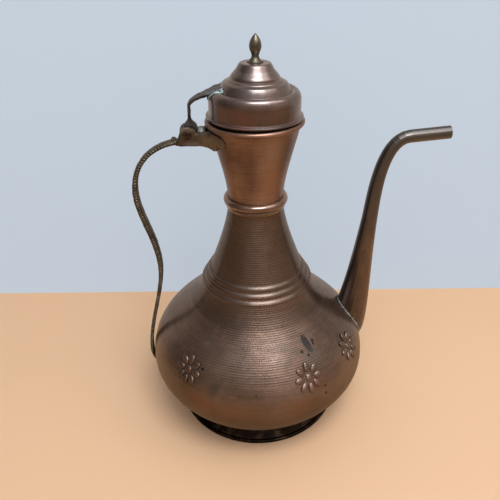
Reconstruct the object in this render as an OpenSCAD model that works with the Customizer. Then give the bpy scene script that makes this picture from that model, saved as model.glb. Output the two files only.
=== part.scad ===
// Copper ewer: a spun belly and neck on a ring foot, a gooseneck spout,
// a cast strap handle, and a stepped lid hinged to the handle's head.
// Millimetres. The floor is z = 0 and the body's axis is the Z axis.
// The spout points along +X and the handle along -X.

/* [Body] */
// Widest diameter of the belly
belly_d = 189; // [181:1:195]
// Height of the belly's widest part
belly_z = 56; // [52:1:60]
// Thickness of the copper sheet
sheet = 1.2; // [0.9:0.1:1.4]
// Diameter of the top of the shoulder, where the neck starts
shoulder_d = 76; // [70:1:82]
// Height of the top of the shoulder
shoulder_z = 144; // [139:1:149]
// Height of each raised ridge on the shoulder
ridge_h = 0.8; // [0.4:0.1:1.2]
// Number of ridges on the shoulder
ridge_count = 3; // [2:1:4]

/* [Neck] */
// Narrowest diameter of the neck, at its joint
neck_d = 44; // [40:1:48]
// Height of the joint in the neck
neck_z = 203; // [199:1:207]
// Outer diameter of the collar that covers the joint
collar_d = 50.8; // [49:0.2:54]
// Outer diameter of the rolled rim
rim_d = 73.4; // [72:0.2:75]
// Height of the rim's top
rim_z = 267.3; // [264:0.5:271]
// Diameter of the rolled edge
roll_d = 3.6; // [3.2:0.1:4]
// Diameter of the wire in the rolled edge
wire_d = 1.6; // [1.2:0.1:1.8]

/* [Foot] */
// Diameter of the foot ring at the floor
foot_d = 145; // [140:1:150]
// Height of the foot ring
foot_h = 9; // [7:0.5:11]
// Diameter where the belly meets the foot
foot_top_d = 126; // [120:1:132]
// Diameter of the bead round the foot
foot_bead_d = 3.6; // [3:0.1:4.4]

/* [Rosettes] */
// Diameter of an embossed flower
rosette_d = 25; // [22:0.5:27]
// Petals in a flower
petals = 8; // [6:1:10]
// Height of a petal above the copper
petal_h = 1.2; // [0.8:0.1:1.5]
// Height of the flowers' centres above the floor
rosette_z = 83; // [79:1:87]

/* [Spout] */
// Reach of the spout's mouth from the body's axis
spout_reach = 149.4; // [143:0.2:156]
// Height of the centre of the spout's mouth
spout_z = 250; // [245:0.5:255]
// Outer diameter of the spout's mouth
spout_tip_d = 10; // [9:0.2:11.4]
// Outer diameter half way up the spout
spout_mid_d = 12.6; // [11.6:0.2:14]
// Distance of the spout's middle from the body's axis
spout_mid_x = 94.4; // [92:0.2:96.6]
// Height of the spout's middle
spout_mid_z = 181.6; // [176:0.2:187]
// Height of the spout's root on the belly
spout_root_z = 78; // [75:1:81]
// Height of the spout's root, along the belly
spout_root_h = 40; // [37:1:43]
// Width of the spout's root, round the belly
spout_root_w = 29; // [26:1:32]
// Diameter of the hole through the belly
port_d = 15; // [12:1:18]
// Height of the solder fillet round the root
fillet = 1.4; // [1:0.1:1.8]

/* [Handle] */
// Width of the handle strap
strap_w = 9; // [8:0.5:10]
// Thickness of the handle strap
strap_t = 3.4; // [2.8:0.1:4]
// Reach of the handle's upper bow from the body's axis
bow_x = 92.8; // [89:0.2:96]
// Height of the upper bow
bow_z = 212.8; // [207:0.2:218]
// Reach of the handle's inward waist
waist_x = 80.6; // [78:0.2:85]
// Height of the handle's waist
waist_z = 146; // [141:0.5:151]
// Height of the handle's foot on the belly
handle_foot_z = 38; // [35:1:41]

/* [Hinge] */
// Distance of the hinge pin from the body's axis
hinge_x = 49.6; // [49:0.2:51]
// Height of the hinge pin
hinge_z = 258.4; // [257:0.2:259]
// Diameter of the hinge pin
pin_d = 4; // [3.4:0.1:4.4]
// Running clearance round the pin, on the radius
pin_gap = 0.06; // [0.03:0.01:0.09]
// Radius of the hinge ears
ear_r = 5.6; // [5.2:0.1:6]
// Width over both ears
ears_w = 14; // [13:0.5:15]
// Thickness of the lug on the lid's arm
lug_w = 4.6; // [4:0.1:5]
// Gap between the lug and each ear
lug_gap = 0.3; // [0.2:0.05:0.5]
// Angle that the lid opens to
lid_swing = 105; // [95:1:105]
// Wrap of the saddle round the neck, in degrees each way
saddle_wrap = 43; // [39:1:47]
// Height of the saddle
saddle_h = 9.4; // [8:0.2:10]
// Thickness of the saddle
saddle_t = 1.3; // [1:0.1:1.7]

/* [Lid] */
// Outer diameter of the lid's wall
lid_d = 66.8; // [64:0.2:68]
// Outer diameter of the lid's turned-out lip
lip_d = 71; // [70:0.2:72]
// Gap between the lip and the rim's top, at the axis
lip_gap = 1.9; // [1.6:0.1:2.4]
// Height of the lid, from lip to flat top
lid_h = 37.1; // [35:0.1:39]
// Diameter of the flat top
top_d = 22.6; // [20:0.5:25]
// Lean of the lid towards the spout, in degrees
lid_lean = 1.2; // [0:0.1:1.5]
// Outer diameter of the sleeve that enters the mouth
sleeve_d = 61; // [58:0.5:62]
// Depth of the sleeve below the lip
sleeve_depth = 6; // [4:0.5:7]
// Width of the lid's arm
arm_w = 17; // [15:0.5:19]
// Thickness of the lid's arm
arm_t = 2.2; // [1.8:0.1:2.6]

/* [Finial] */
// Height of the finial above the lid's recess
finial_h = 19.5; // [17:0.5:22]
// Diameter of the finial's bud
bud_d = 8.1; // [7:0.1:9]
// Diameter of the finial's base
finial_base_d = 9.4; // [8.6:0.1:10.2]
// Diameter of the finial's threaded stud
stud_d = 4; // [3:0.5:5]
// Width across the nut's flats
nut_w = 8; // [7:0.5:9]
// Thickness of the nut
nut_t = 3.2; // [2.4:0.2:4]

/* [Hidden] */

copper = "#6f4a38";
funnel_copper = "#8a5638";
lid_copper = "#5f4036";
dark_copper = "#2b211d";
brass = "#75684a";
arm_brass = "#4d4a45";
solder = "#8f978c";
verdigris = "#6aa39b";
iron = "#4a4744";

$fn = 96;
join = 0.01;                     // sink that keeps a cut clean
far = 400;                       // reaches past every piece
foot_r = foot_top_d / 2;
neck_r = neck_d / 2;
belly_r = belly_d / 2;
shoulder_r = shoulder_d / 2;
hip = [shoulder_r + 9.3, shoulder_z - 15];   // foot of the ridged band
collar_h = 9.4;
roll_r = roll_d / 2;
roll_c = [rim_d / 2 - roll_r, rim_z - roll_r];
mouth_r = roll_c[0] - roll_r;    // inside the rolled rim
lip_z = rim_z + lip_gap;         // the lid's own zero
hinge = [-hinge_x, hinge_z];
lug_r = ear_r - 0.4;
lug_at = [2.6, 3.6];
slot_w = lug_w + 2 * lug_gap;
solder_seat = 0.02;              // what the solder stands off the spout
saddle_z = hinge_z - 1.8;

// ---- curves ----

// Point at t on a cubic Bezier curve, and a run of such points
function bez(p, t) = let (u = 1 - t)
    u * u * u * p[0] + 3 * u * u * t * p[1] + 3 * u * t * t * p[2] + t * t * t * p[3];
function curve(p, n, from = 0) = [for (i = [from:n]) bez(p, i / n)];
function unit(v) = v / norm(v);
function right_of(v) = [v[1], -v[0]];
function heading(p, i) = unit(p[min(i + 1, len(p) - 1)] - p[max(i - 1, 0)]);
// A line of points moved to its right by d; its two ends stay level
function beside(p, d) = [for (i = [0:len(p) - 1]) let (n = right_of(heading(p, i)))
    i == 0 || i == len(p) - 1 ? p[i] + [d / n[0], 0] : p[i] + d * n];
function beside_all(p, d) = [for (i = [0:len(p) - 1]) p[i] + d * right_of(heading(p, i))];
function reversed(p) = [for (i = [len(p) - 1:-1:0]) p[i]];
function radius_at(p, z) = lookup(z, [for (q = p) [q[1], q[0]]]);

// ---- outlines as [radius, height], going up ----

lower_belly = curve([[foot_r, foot_h], [foot_r + 13, foot_h + 14],
                     [belly_r, belly_z - 18], [belly_r, belly_z]], 12);
upper_belly = curve([[belly_r, belly_z], [belly_r, belly_z + 37],
                     hip + [9.5, -27], hip], 18, 1);
lower_neck = curve([[shoulder_r, shoulder_z], [shoulder_r - 6, shoulder_z + 16],
                    [neck_r + 2.5, neck_z - 24], [neck_r, neck_z - collar_h / 2 - 1]], 12, 1);
neck_end = [[neck_r, neck_z]];
bulge_line = concat(lower_belly, upper_belly);
body_line = concat(bulge_line, [[shoulder_r, shoulder_z]], lower_neck, neck_end);
// Half-round ridges side by side up the band, as a wave on the straight line
ridges = let (run = [shoulder_r, shoulder_z] - hip, n = 8 * ridge_count)
    [for (i = [1:n]) hip + run * i / n
        + ridge_h * pow(sin(180 * ridge_count * i / n), 2) * right_of(unit(run))];
cone_line = concat([hip], ridges, lower_neck, neck_end);

funnel_line = concat(neck_end,
    curve([[neck_r, neck_z + collar_h / 2 + 1], [neck_r + 0.5, neck_z + 21],
           [mouth_r + sheet - 3.3, rim_z - 17.5], [mouth_r + sheet, roll_c[1]]], 16));

module turned(p) { rotate_extrude() polygon(p); }
// All that lies inside an outline, or within grow of it
module inside(p, grow = 0) {
    q = grow == 0 ? p : beside(p, grow);
    turned(concat([[0, q[0][1]]], q, [[0, q[len(q) - 1][1]]]));
}
module shell(outer, line) { turned(concat(outer, reversed(beside(line, -sheet)))); }
// The belly below the ridges, for what is cut to lie on it, and a layer on top of it
module belly_bulge() { inside(bulge_line); }
module belly_layer(t) { turned(concat(beside(bulge_line, t), reversed(bulge_line))); }

// ---- body ----

module foot_ring() {
    bead = foot_bead_d / 2;
    floor_r = foot_d / 2 - bead;
    color(dark_copper) difference() {
        rotate_extrude() {
            polygon([[foot_r, foot_h], [foot_r, foot_h - sheet], [floor_r - bead + 0.4, 0],
                     [floor_r, 0], [floor_r, bead + 0.4], [foot_r + sheet, foot_h - 0.6]]);
            translate([floor_r, bead - 0.3]) circle(bead);
        }
        translate([0, 0, -5]) cube([far, far, 10], center = true);
    }
}

module base_plate() {
    color(dark_copper) translate([0, 0, foot_h - sheet]) cylinder(r = foot_r, h = sheet);
}

module port(d) {
    translate([radius_at(body_line, spout_root_z), 0, spout_root_z])
        rotate([0, 48, 0]) cylinder(d = d, h = 24, center = true);
}

module rosette() {
    petal = [rosette_d * 0.165, rosette_d * 0.105, petal_h];
    for (i = [0:petals - 1]) rotate([0, 0, 360 / petals * i])
        translate([rosette_d / 2 - petal[0], 0, 0]) scale(petal) sphere(1, $fn = 16);
    scale([rosette_d * 0.13, rosette_d * 0.13, petal_h * 1.1]) sphere(1, $fn = 16);
}

// Flowers stand square to the belly: three on the near side, two behind
module rosettes() {
    angles = [-32, -67, -135.5, 67, 113];
    r = radius_at(body_line, rosette_z);
    drop = (radius_at(body_line, rosette_z - 3) - radius_at(body_line, rosette_z + 3)) / 6;
    for (a = angles) rotate([0, 0, a]) translate([r, 0, rosette_z])
        rotate([0, 90 - atan(drop), 0]) rosette();
}

module body_hollow() { inside(beside(body_line, -sheet)); }

module belly_shell() {
    color(copper) difference() {
        union() {
            belly_bulge();
            rosettes();
        }
        body_hollow();
        port(port_d);
    }
}

// The ridged band and the neck above it, soldered to the belly along the band's foot
module neck_cone() {
    color(copper) difference() {
        inside(cone_line);
        body_hollow();
    }
}

module neck_collar() {
    main = collar_d / 2 - neck_r;
    color(copper) rotate_extrude() {
        translate([neck_r, neck_z - collar_h * 0.55]) square([main * 0.4, collar_h]);
        intersection() {
            union() {
                translate([neck_r, neck_z + 0.6]) circle(main);
                translate([neck_r, neck_z - main - 0.2]) circle(main * 0.5);
            }
            translate([neck_r, 0]) square([far, far]);
        }
    }
}

module neck_funnel() {
    color(funnel_copper) difference() {
        union() {
            shell(funnel_line, funnel_line);
            rotate_extrude() translate(roll_c) circle(roll_r);
        }
        rotate_extrude() translate(roll_c) circle(d = wire_d);
    }
}

module rim_wire() {
    color(iron) rotate_extrude() translate(roll_c) circle(d = wire_d);
}

// ---- swept bars and tubes ----

// A station is [x, z, half height, half width] of a section square to the path.
// Softness 1 makes the section an ellipse, and a smaller one squares it off.
function squared(v, soft) = sign(v) * pow(abs(v), soft);
function path_of(stations) = [for (s = stations) [s[0], s[1]]];
function ring(stations, i, grow, n, soft) =
    let (s = stations[i], out = right_of(heading(path_of(stations), i)))
    [for (k = [0:n - 1]) let (a = 360 * k / n, h = (s[2] + grow) * squared(cos(a), soft))
        [s[0] + h * out[0], (s[3] + grow) * squared(sin(a), soft), s[1] + h * out[1]]];
// Faces that join the ring starting at point a to the one starting at b
function belt(a, b, n) = [for (k = [0:n - 1]) let (j = (k + 1) % n)
    each [[b + j, a + j, a + k], [b + k, b + j, a + k]]];
function cap(a, n) = [for (k = [1:n - 2]) [a + k + 1, a + k, a]];

module swept(stations, grow = 0, n = 24, soft = 1) {
    last = len(stations) - 1;
    polyhedron([for (i = [0:last]) each ring(stations, i, grow, n, soft)],
        concat([for (i = [0:last - 1]) each belt(i * n, (i + 1) * n, n)],
               [for (f = cap(0, n)) [f[2], f[1], f[0]]], cap(last * n, n)));
}

// A tube between two such forms, open at both ends
module swept_tube(stations, outer, inner, n = 24) {
    m = len(stations);
    polyhedron([for (g = [outer, inner], i = [0:m - 1]) each ring(stations, i, g, n, 1)],
        concat([for (i = [0:m - 2]) each belt(i * n, (i + 1) * n, n)],
               [for (i = [0:m - 2]) each belt((m + i + 1) * n, (m + i) * n, n)],
               belt((m - 1) * n, (2 * m - 1) * n, n), belt(m * n, 0, n)));
}

// ---- spout: a tapered tube swept up a double bend ----

spout_foot = [radius_at(body_line, spout_root_z), spout_root_z];
spout_mid = [spout_mid_x, spout_mid_z];
root_h = spout_root_h / 2;
root_w = spout_root_w / 2;
mid_r = spout_mid_d / 2;
tip_r = spout_tip_d / 2;
function at(p, x, z, h, w) = [p[0] + x, p[1] + z, h, w];
spout_stations = concat(
    curve([at(spout_foot, -7.2, -6.8, root_h * 0.87, root_w * 0.88),
           at(spout_foot, -1, 6.6, root_h * 0.7, root_w * 0.96),
           at(spout_mid, -3.7, -46.8, mid_r * 1.37, mid_r * 1.37),
           at(spout_mid, 0, 0, mid_r, mid_r)], 16),
    curve([at(spout_mid, 0, 0, mid_r, mid_r),
           at(spout_mid, 1.5, 26.5, mid_r * 0.88, mid_r * 0.88),
           [spout_mid[0] + 4.2, spout_z - 3.3, tip_r * 0.96, tip_r * 0.96],
           [spout_mid[0] + 24.3, spout_z - 1.9, tip_r, tip_r]], 14, 1),
    [[spout_reach, spout_z, tip_r, tip_r]]);
// The lower end, long enough to pass through the belly's copper
spout_root = [for (i = [0:9]) spout_stations[i]];

module spout_tube() {
    color(copper) difference() {
        swept_tube(spout_stations, 0, -sheet);
        belly_bulge();
    }
}

module spout_solder() {
    color(solder) intersection() {
        swept_tube(spout_root, fillet, solder_seat);
        belly_layer(fillet);
    }
}

// ---- handle ----

foot_x = radius_at(body_line, handle_foot_z);
function strap_at(p, x, z, t, w) = [p[0] + x, p[1] + z, t * strap_t / 2, w * strap_w / 2];
bow = [-bow_x, bow_z];
waist = [-waist_x, waist_z];
girth = [-belly_r - 2.4, belly_z + 7.4];
strap_stations = concat(
    curve([strap_at(hinge, -5.9, -6.2, 1, 1), strap_at(hinge, -25.4, -6.9, 1, 1),
           strap_at(bow, 0, 25.2, 1, 1), strap_at(bow, 0, 0, 1, 1)], 12),
    curve([strap_at(bow, 0, 0, 1, 1), strap_at(bow, 0, -21.3, 1, 1),
           strap_at(waist, 0, 26.6, 1, 0.95), strap_at(waist, 0, 0, 0.95, 0.9)], 10, 1),
    curve([strap_at(waist, 0, 0, 0.95, 0.9), strap_at(waist, 0, -24, 0.95, 0.85),
           strap_at(girth, 2.3, 26.6, 0.95, 0.8), strap_at(girth, 0, 0, 0.95, 0.8)], 10, 1),
    curve([strap_at(girth, 0, 0, 0.95, 0.8), strap_at(girth, -1, -11.4, 0.95, 0.8),
           [-foot_x - 8.4, handle_foot_z + 6, strap_t * 0.45, strap_w * 0.38],
           [-foot_x, handle_foot_z, strap_t * 0.42, strap_w * 0.36]], 8, 1),
    [[-foot_x + strap_t, handle_foot_z - strap_t, strap_t * 0.42, strap_w * 0.36]]);

// A side view given thickness w across the handle
module across(w) { rotate([90, 0, 0]) linear_extrude(w, center = true) children(); }
// A front view run a long way along X
module along() { rotate([90, 0, 90]) linear_extrude(2 * far, center = true) children(); }
module at_hinge() { translate([hinge[0], 0, hinge[1]]) children(); }
module handle_strap() { swept(strap_stations, n = 16, soft = 0.6); }

// The cast head: two ears on a low web, with a wing from each ear to the neck
module handle_head() {
    low = [[-9, -8], [-5, 0], [4.6, 0], [8.4, -4], [24, -6], [24, -18], [19, -14],
           [14, -10.6], [8, -8.6], [0, -8]];
    high = [[4, -8], [4, 0.6], [9, 1], [14, 2], [24, 2.6], [24, -11], [18, -9.8], [13, -8.6],
            [8, -8]];
    half = [[-9, strap_w / 2], [-5, ears_w / 2], [6, ears_w / 2], [10, strap_w / 2 + 0.4],
            [24, strap_w / 2 + 0.4]];
    wing = [[4, ears_w / 2], [8, ears_w / 2 + 0.6], [14, ears_w / 2 + 3.4], [20, ears_w / 2 + 8.4],
            [24, ears_w / 2 + 3], [14, ears_w / 2 - 2.2], [8, ears_w / 2 - 2.6],
            [4, ears_w / 2 - 2.6]];
    intersection() {
        at_hinge() across(ears_w) {
            circle(ear_r);
            translate([2.4, -0.6]) circle(ear_r - 0.4);
            polygon(low);
        }
        translate([hinge[0], 0, 0]) linear_extrude(far)
            polygon(concat(half, [for (p = reversed(half)) [p[0], -p[1]]]));
    }
    for (m = [0, 1]) mirror([0, m, 0]) intersection() {
        at_hinge() across(far) polygon(high);
        translate([hinge[0], 0, 0]) linear_extrude(far) polygon(wing);
    }
    at_hinge() translate([-10.3, 0, -5.6]) rotate([90, 0, 0])
        cylinder(r = 2.2, h = strap_w - 2.4, center = true);
}

module handle() {
    color(brass) difference() {
        union() {
            handle_strap();
            handle_head();
        }
        at_hinge() {
            across(slot_w) {
                circle(lug_r + 0.6);
                for (a = [0:lid_swing / 6:lid_swing]) rotate(a) translate(lug_at)
                    circle(lug_r + 0.6);
                translate([-14, -2]) square([28, 20]);
            }
            rotate([90, 0, 0]) cylinder(d = pin_d, h = ears_w + 1, center = true);
            for (m = [0, 1]) mirror([0, m, 0]) translate([0, ears_w / 2 - 1, 0])
                rotate([-90, 0, 0]) cylinder(d = pin_d + 2, h = 2);
        }
        inside(funnel_line, saddle_t);
        belly_bulge();
    }
}

module handle_solder() {
    color(solder) difference() {
        intersection() {
            belly_layer(1);
            translate([-foot_x - 5, 0, handle_foot_z + 2])
                cube([30, strap_w + 3, 4.5 * strap_t], center = true);
        }
        handle_strap();
    }
}

// ---- saddle and hinge ----

// Seen along X: a plate that tapers to a round tip on each side
function arc(c, r, from, to, n) =
    [for (i = [0:n]) let (a = from + (to - from) * i / n) c + r * [cos(a), sin(a)]];
module saddle_leaf() {
    tip_r = saddle_h / 2;
    reach = (radius_at(funnel_line, saddle_z) + saddle_t) * sin(saddle_wrap) - tip_r;
    half = concat([[8, -10.4]], arc([reach, 0], tip_r, -100, 88, 10), [[0, tip_r + 1.2]]);
    polygon(concat(half, [for (p = reversed(half)) if (p[0] > 0) [-p[0], p[1]]]));
}

module neck_saddle() {
    color(brass) difference() {
        intersection() {
            inside(funnel_line, saddle_t);
            translate([-far, 0, saddle_z]) along() saddle_leaf();
        }
        inside(funnel_line);
    }
}

module saddle_solder() {
    color(solder) difference() {
        at_hinge() translate([10, 0, 1]) scale([1, 1.3, 1]) sphere(3.5);
        at_hinge() across(slot_w) translate(lug_at) circle(lug_r + lug_gap);
        inside(funnel_line);
        neck_saddle();
        handle();
    }
}

module hinge_pin() {
    color(dark_copper) at_hinge() rotate([90, 0, 0])
        cylinder(d = pin_d, h = ears_w - 2, center = true);
}

// ---- lid, in its own frame: z = 0 at the lip's lower edge ----

lid_r = lid_d / 2;
top_r = top_d / 2;
lid_wall_h = lid_h * 0.318;
crease_b = [lid_r - 7.2, lid_h * 0.49];
crease_a = [top_r + 6.3, lid_h * 0.725];
recess_r = finial_base_d / 2 + 1.2;
recess = 0.8;

// The wall turns out into a thin lip; above it a round shoulder, a stepped roll and a
// hollow cone meet in two creases
lid_skirt = [[lip_d / 2, 0], [lip_d / 2, 0.9], [lip_d / 2 - 0.4, 1.2], [lid_r + 0.4, 1.5],
             [lid_r, 2.3], [lid_r, lid_wall_h]];
lid_dome = concat(
    curve([[lid_r, lid_wall_h], [lid_r - 0.1, lid_wall_h + 3.8], crease_b + [6, 0],
           crease_b + [3.7, 0.9]], 8, 1),
    curve([for (p = [[3.2, 1.05], [2.6, 1.2], [1.4, 1], [0, 0]]) crease_b + p], 4),
    curve([for (p = [[-0.3, 0.5], [-1.1, 2.2], [-1.9, 3.9], [-2.7, 5]]) crease_b + p], 4),
    curve([for (p = [[-2.9, 5.3], [-3.2, 5.9], [-4.2, 6.4], [-5.7, 6.9]]) crease_b + p], 4),
    curve([for (p = [[-6, 7.1], [-6.3, 7.3], [-6.3, 7.7], [-7.4, 8.1]]) crease_b + p], 3),
    curve([crease_a, crease_a + [0.3, 1.5], crease_a + [-1.5, 2.9], [top_r + 2.6, lid_h - 4.8]],
          7),
    curve([for (p = [[2.2, -4.2], [1.4, -2.9], [0.8, -1.8], [0, -0.6]]) [top_r, lid_h] + p], 3));
lid_line = concat(lid_skirt, lid_dome, [[top_r - 0.8, lid_h]]);

// From the lid's frame to the row's, for a point [x, z] and for solids
function on_lid(p) = [p[0] * cos(lid_lean) + p[1] * sin(lid_lean),
                      lip_z - p[0] * sin(lid_lean) + p[1] * cos(lid_lean)];
module lid_pose() { translate([0, 0, lip_z]) rotate([0, lid_lean, 0]) children(); }
// The room under the lid's copper
under_lid = concat([[lid_r - sheet, -join], [lid_r - sheet, lid_wall_h]],
    [for (p = lid_dome) p - [sheet, sheet * 0.6]]);

module lid_shell() {
    color(lid_copper) lid_pose() difference() {
        inside(lid_line);
        turned(concat([[0, -join]], under_lid, [[0, lid_h - 0.6 - sheet * 0.6]]));
        turned([[0, -join], [lip_d / 2 - 1, -join], [lid_r - sheet, 1.6], [0, 1.6]]);
        translate([0, 0, lid_h - recess]) cylinder(r = recess_r, h = 5);
        cylinder(d = stud_d, h = lid_h + 1);
    }
}

module lid_sleeve() {
    r = sleeve_d / 2;
    seat = lid_r - sheet;
    color(lid_copper) lid_pose() turned([[r, -sleeve_depth], [r, 2.6], [seat, 4.6], [seat, 8],
        [seat - 1, 8], [seat - 1, 5.1], [r - 1, 3.1], [r - 1, -sleeve_depth]]);
}

finial_z = lid_h - recess;
plate_z = lid_h - 0.6 - sheet * 0.6;    // underside of the lid's flat top

module finial() {
    b = finial_base_d / 2;
    w = bud_d / 2;
    waist = 2.4;
    h = finial_h;
    color(brass) lid_pose() translate([0, 0, finial_z]) {
        turned(concat([[0, 0], [b, 0], [b, 0.7]],
            curve([[b, 0.7], [b - 1.4, 2.2], [waist, h * 0.21], [waist, h * 0.35]], 6, 1),
            curve([[waist, h * 0.35], [waist + 0.3, h * 0.45], [w, h * 0.48], [w, h * 0.62]], 6, 1),
            curve([[w, h * 0.62], [w, h * 0.79], [0.9, h * 0.9], [0, h]], 8, 1)));
        translate([0, 0, plate_z - finial_z - nut_t - 1])
            cylinder(d = stud_d, h = nut_t + 1 + finial_z - plate_z + join);
    }
}

module finial_nut() {
    color(iron) lid_pose() translate([0, 0, plate_z - nut_t]) difference() {
        cylinder(d = nut_w / cos(30), h = nut_t, $fn = 6);
        translate([0, 0, -1]) cylinder(d = stud_d, h = nut_t + 2);
    }
}

// ---- arm that carries the lid ----

arm_on = on_lid([-crease_b[0] - 5.1, crease_b[1] - 0.7]);
arm_mid = on_lid([-crease_b[0] - 2, crease_b[1] + 0.9]);
arm_tip = on_lid([-crease_b[0] + 3.3, crease_b[1] + 2.7]);
arm_path = concat([hinge + [2.4, 4], hinge + [2.4, 13]],
    curve([hinge + [2.4, 18], hinge + [2.6, 25.2], arm_on + [-9, -3.4],
           arm_on], 8, 1),
    [arm_mid, arm_tip]);

// Outline of a strap along a path, seen from the side
function strip(p, t) = let (r = beside_all(p, t / 2), l = beside_all(p, -t / 2))
    concat(r, reversed(l));

// Half widths going up: the lug's neck, the knee, the wide foot and its rounded end
module arm_form(grow = 0, spread = 0) {
    half = [[lug_w / 2, 0], [lug_w / 2, hinge_z + 10], [arm_w * 0.2, hinge_z + 20],
            [arm_w * 0.24, hinge_z + 25], [arm_w * 0.32, arm_on[1] - 1.6],
            [arm_w * 0.46, arm_on[1]], [arm_w / 2, arm_mid[1]], [arm_w * 0.47, arm_tip[1]],
            [arm_w * 0.36, arm_tip[1] + 1.6], [arm_w * 0.3, far]];
    intersection() {
        across(arm_w + 2 * spread) polygon(strip(arm_path, arm_t + 2 * grow));
        along() polygon(concat([for (p = half) p + [spread, 0]],
                               [for (p = reversed(half)) [-p[0] - spread, p[1]]]));
    }
}

module lid_arm() {
    color(arm_brass) difference() {
        union() {
            arm_form();
            at_hinge() across(lug_w) {
                circle(lug_r);
                translate(lug_at) circle(lug_r);
                polygon([[-1.2, 7], [1, 9.6], [1.3, 11.6], [3.5, 11.6], [3.9, 9.6], [6.2, 7]]);
            }
        }
        at_hinge() rotate([90, 0, 0]) cylinder(r = pin_d / 2 + pin_gap, h = lug_w + 2,
                                               center = true);
        lid_pose() inside(lid_line);
    }
}

// A thin skirt on the lid round the arm's foot and under it, never over it
module arm_solder() {
    color(verdigris) difference() {
        intersection() {
            arm_form(2.2, 2.8);
            lid_pose() rotate_extrude() intersection() {
                offset(delta = 0.8) polygon(concat([[0, 0]], lid_line, [[0, lid_h]]));
                square([lid_d, lid_h]);
            }
        }
        for (up = [0:arm_t / 2:2 * arm_t]) translate([0, 0, up]) arm_form();
        lid_pose() inside(lid_line);
    }
}

foot_ring();
base_plate();
belly_shell();
neck_cone();
neck_collar();
neck_funnel();
rim_wire();
spout_tube();
spout_solder();
handle();
handle_solder();
neck_saddle();
saddle_solder();
hinge_pin();
lid_shell();
lid_sleeve();
finial();
finial_nut();
lid_arm();
arm_solder();
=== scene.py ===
import math

import bpy
from mathutils import Matrix, Vector


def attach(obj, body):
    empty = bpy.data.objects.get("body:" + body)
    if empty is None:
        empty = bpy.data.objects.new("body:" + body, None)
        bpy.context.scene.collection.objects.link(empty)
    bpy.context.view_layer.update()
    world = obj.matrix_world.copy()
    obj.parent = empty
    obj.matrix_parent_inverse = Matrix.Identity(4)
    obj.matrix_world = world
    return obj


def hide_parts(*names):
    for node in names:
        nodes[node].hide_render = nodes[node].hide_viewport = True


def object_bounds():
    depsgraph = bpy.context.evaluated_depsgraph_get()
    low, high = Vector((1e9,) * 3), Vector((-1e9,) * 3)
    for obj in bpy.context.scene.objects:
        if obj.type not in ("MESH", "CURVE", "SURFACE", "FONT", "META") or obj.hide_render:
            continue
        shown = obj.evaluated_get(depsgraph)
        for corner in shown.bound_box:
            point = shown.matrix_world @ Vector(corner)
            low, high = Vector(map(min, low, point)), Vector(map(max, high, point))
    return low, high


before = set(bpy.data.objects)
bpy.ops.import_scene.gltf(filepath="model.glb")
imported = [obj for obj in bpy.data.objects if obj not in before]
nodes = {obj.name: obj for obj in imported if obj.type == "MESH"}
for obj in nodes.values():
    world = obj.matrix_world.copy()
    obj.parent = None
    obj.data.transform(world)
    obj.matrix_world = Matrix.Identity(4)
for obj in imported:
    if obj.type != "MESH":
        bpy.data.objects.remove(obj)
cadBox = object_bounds()
scene = bpy.context.scene
mmPerMetre = 1000
bpy.ops.object.select_all(action="DESELECT")
print("frame loaded")

cameraSetup = {
    "place": (-0.03277, -0.37457, 0.38465),
    "lens": 37.8,
    "azimuth": 4.2,  # turned to the right of +Y, in degrees
    "pitch": 31.45,  # turned down from level
    "roll": -1.11,
    "nearest": 0.02,  # nothing closer than this is drawn
}


def aimCamera(setup):
    azimuth, pitch, roll = (math.radians(setup[k]) for k in ("azimuth", "pitch", "roll"))
    bpy.ops.object.camera_add()
    camera = bpy.context.object
    camera.data.lens = setup["lens"]
    camera.data.clip_start = setup["nearest"]
    turn = Matrix.Rotation(-azimuth, 4, "Z") @ Matrix.Rotation(math.pi / 2 - pitch, 4, "X")
    camera.matrix_world = Matrix.Translation(setup["place"]) @ turn @ Matrix.Rotation(roll, 4, "Z")
    scene.camera = camera


aimCamera(cameraSetup)


# Node helpers: each returns a socket that the next one can take
def addNode(tree, kind, inputs=None, **settings):
    node = tree.nodes.new(kind)
    for key, value in settings.items():
        setattr(node, key, value)
    for key, value in (inputs or {}).items():
        if isinstance(value, bpy.types.NodeSocket):
            tree.links.new(value, node.inputs[key])
        else:
            node.inputs[key].default_value = value
    return node


def mathNode(tree, operation, first, second=0.5, third=0.5, clamp=False):
    node = addNode(tree, "ShaderNodeMath", {0: first, 1: second, 2: third},
                   operation=operation, use_clamp=clamp)
    return node.outputs[0]


def vectorNode(tree, operation, first, second=(0, 0, 0)):
    node = addNode(tree, "ShaderNodeVectorMath", {0: first, 1: second}, operation=operation)
    return node.outputs["Value" if operation in ("LENGTH", "DOT_PRODUCT") else "Vector"]


def spread(tree, value, fromLow, fromHigh, toLow=0.0, toHigh=1.0):
    return addNode(tree, "ShaderNodeMapRange",
                   {"Value": value, "From Min": fromLow, "From Max": fromHigh,
                    "To Min": toLow, "To Max": toHigh}).outputs[0]


def ramp(tree, factor, stops):
    node = addNode(tree, "ShaderNodeValToRGB", {"Fac": factor})
    elements = node.color_ramp.elements
    while len(elements) < len(stops):
        elements.new(0.5)
    for element, (position, colour) in zip(elements, stops):
        element.position = position
        element.color = (*colour, 1) if isinstance(colour, tuple) else (colour, colour, colour, 1)
    return node.outputs["Color"]


def noise(tree, vector, scale, detail=4, roughness=0.55, distortion=0.0):
    return addNode(tree, "ShaderNodeTexNoise",
                   {"Vector": vector, "Scale": scale, "Detail": detail,
                    "Roughness": roughness, "Distortion": distortion}).outputs["Fac"]


def mixColour(tree, factor, first, second, blend="MIX"):
    second = (*second, 1) if isinstance(second, tuple) else second
    return addNode(tree, "ShaderNodeMix", {0: factor, 6: first, 7: second},
                   data_type="RGBA", blend_type=blend).outputs[2]


def stretched(tree, vector, scale):
    return addNode(tree, "ShaderNodeMapping", {"Vector": vector, "Scale": scale}).outputs[0]


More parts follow.
